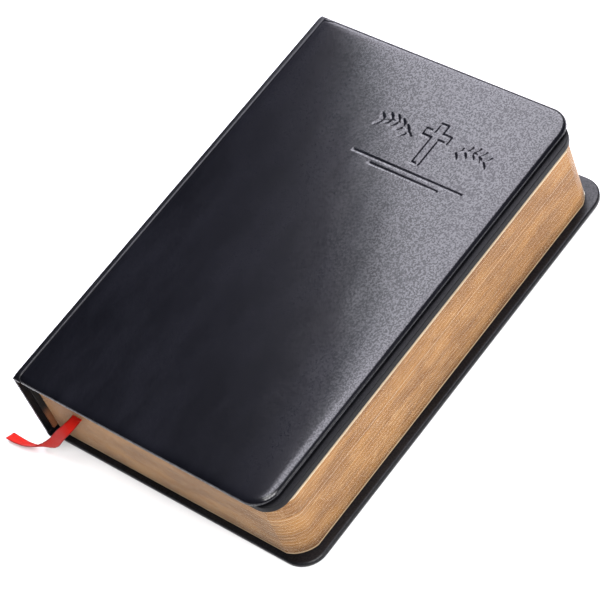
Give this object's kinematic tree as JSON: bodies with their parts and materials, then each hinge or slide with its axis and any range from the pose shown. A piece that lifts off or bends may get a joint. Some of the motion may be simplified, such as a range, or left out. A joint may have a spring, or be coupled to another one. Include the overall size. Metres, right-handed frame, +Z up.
{
  "type": "bible",
  "caption": "Thick pocket-size bible, closed, with a padded black leather cover, sewn leaves with gilt edges, a hollow spine and a red ribbon marker.",
  "frame": {"origin": "on the table, under the middle of the closed book, ribbon end left out", "axes": "+Z up through the front cover, +X from the spine to the fore-edge, +Y from the tail to the head"},
  "size_m": [0.1531, 0.2158, 0.0441],
  "materials": {
    "cover_leather": "fine-grained black imitation leather, satin",
    "joint_leather": "fine-grained black imitation leather, satin, creased",
    "lining_leather": "smooth black lining, matt",
    "foam": "thin dark foam pad",
    "board": "grey binder's board",
    "endpaper": "plain off-white paper, uncoated",
    "gilt_leaves": "thin white paper with gilt edges",
    "kraft": "brown kraft paper",
    "mull": "open starched cotton gauze",
    "linen": "linen tape and waxed thread",
    "ribbon_satin": "red satin ribbon"
  },
  "bodies": {
    "text_block": {"section_05": "gilt_leaves", "section_06": "gilt_leaves", "section_07": "gilt_leaves", "section_08": "gilt_leaves", "section_09": "gilt_leaves", "section_10": "gilt_leaves", "section_11": "gilt_leaves", "section_12": "gilt_leaves", "section_13": "gilt_leaves", "section_14": "gilt_leaves", "section_15": "gilt_leaves", "section_16": "gilt_leaves", "spine_leather": "cover_leather", "spine_inlay": "kraft", "spine_hollow_tube": "kraft", "spine_mull": "mull", "sewing_tapes": "linen", "sewing_thread": "linen", "front_joint_leather": "joint_leather", "back_joint_leather": "joint_leather", "ribbon_marker": "ribbon_satin", "ribbon_tail": "ribbon_satin"},
    "front_cover": {"front_cover_leather": "cover_leather", "front_cover_foam": "foam", "front_cover_lining": "lining_leather", "front_cover_board": "board", "front_pastedown": "endpaper"},
    "back_cover": {"back_cover_leather": "cover_leather", "back_cover_board": "board", "back_pastedown": "endpaper"},
    "front_flyleaf_leaf": {"front_flyleaf": "endpaper"},
    "back_flyleaf_leaf": {"back_flyleaf": "endpaper"},
    "turning_section_01": {"section_01": "gilt_leaves"},
    "turning_section_02": {"section_02": "gilt_leaves"},
    "turning_section_03": {"section_03": "gilt_leaves"},
    "turning_section_04": {"section_04": "gilt_leaves"}
  },
  "joints": [
    {"name": "front_cover_hinge", "type": "hinge", "parent": "text_block", "child": "front_cover", "pos_m": [-0.06725, 0, 0.0426], "axis": [0, -1, 0], "range_deg": [0, 197]},
    {"name": "back_cover_hinge", "type": "hinge", "parent": "text_block", "child": "back_cover", "pos_m": [-0.06725, 0, 0.0015], "axis": [0, 1, 0], "range_deg": [0, 180]},
    {"name": "front_flyleaf_turn", "type": "hinge", "parent": "text_block", "child": "front_flyleaf_leaf", "pos_m": [-0.06375, 0, 0.0373], "axis": [0, -1, 0], "range_deg": [0, 103]},
    {"name": "back_flyleaf_turn", "type": "hinge", "parent": "text_block", "child": "back_flyleaf_leaf", "pos_m": [-0.06375, 0, 0.003], "axis": [0, 1, 0], "range_deg": [0, 90]},
    {"name": "section_01_turn", "type": "hinge", "parent": "text_block", "child": "turning_section_01", "pos_m": [-0.06375, 0, 0.0366], "axis": [0, -1, 0], "range_deg": [0, 47.4]},
    {"name": "section_02_turn", "type": "hinge", "parent": "text_block", "child": "turning_section_02", "pos_m": [-0.06375, 0, 0.03455], "axis": [0, -1, 0], "range_deg": [0, 21.8]},
    {"name": "section_03_turn", "type": "hinge", "parent": "text_block", "child": "turning_section_03", "pos_m": [-0.06375, 0, 0.0325], "axis": [0, -1, 0], "range_deg": [0, 10.3]},
    {"name": "section_04_turn", "type": "hinge", "parent": "text_block", "child": "turning_section_04", "pos_m": [-0.06375, 0, 0.03045], "axis": [0, -1, 0], "range_deg": [0, 4.8]}
  ],
  "couplings": [
    {"joint": "front_flyleaf_turn", "follows": "front_cover_hinge", "ratio": 0.52},
    {"joint": "section_01_turn", "follows": "front_cover_hinge", "ratio": 0.24},
    {"joint": "section_02_turn", "follows": "front_cover_hinge", "ratio": 0.11},
    {"joint": "section_03_turn", "follows": "front_cover_hinge", "ratio": 0.052},
    {"joint": "section_04_turn", "follows": "front_cover_hinge", "ratio": 0.024},
    {"joint": "back_flyleaf_turn", "follows": "back_cover_hinge", "ratio": 0.5}
  ]
}
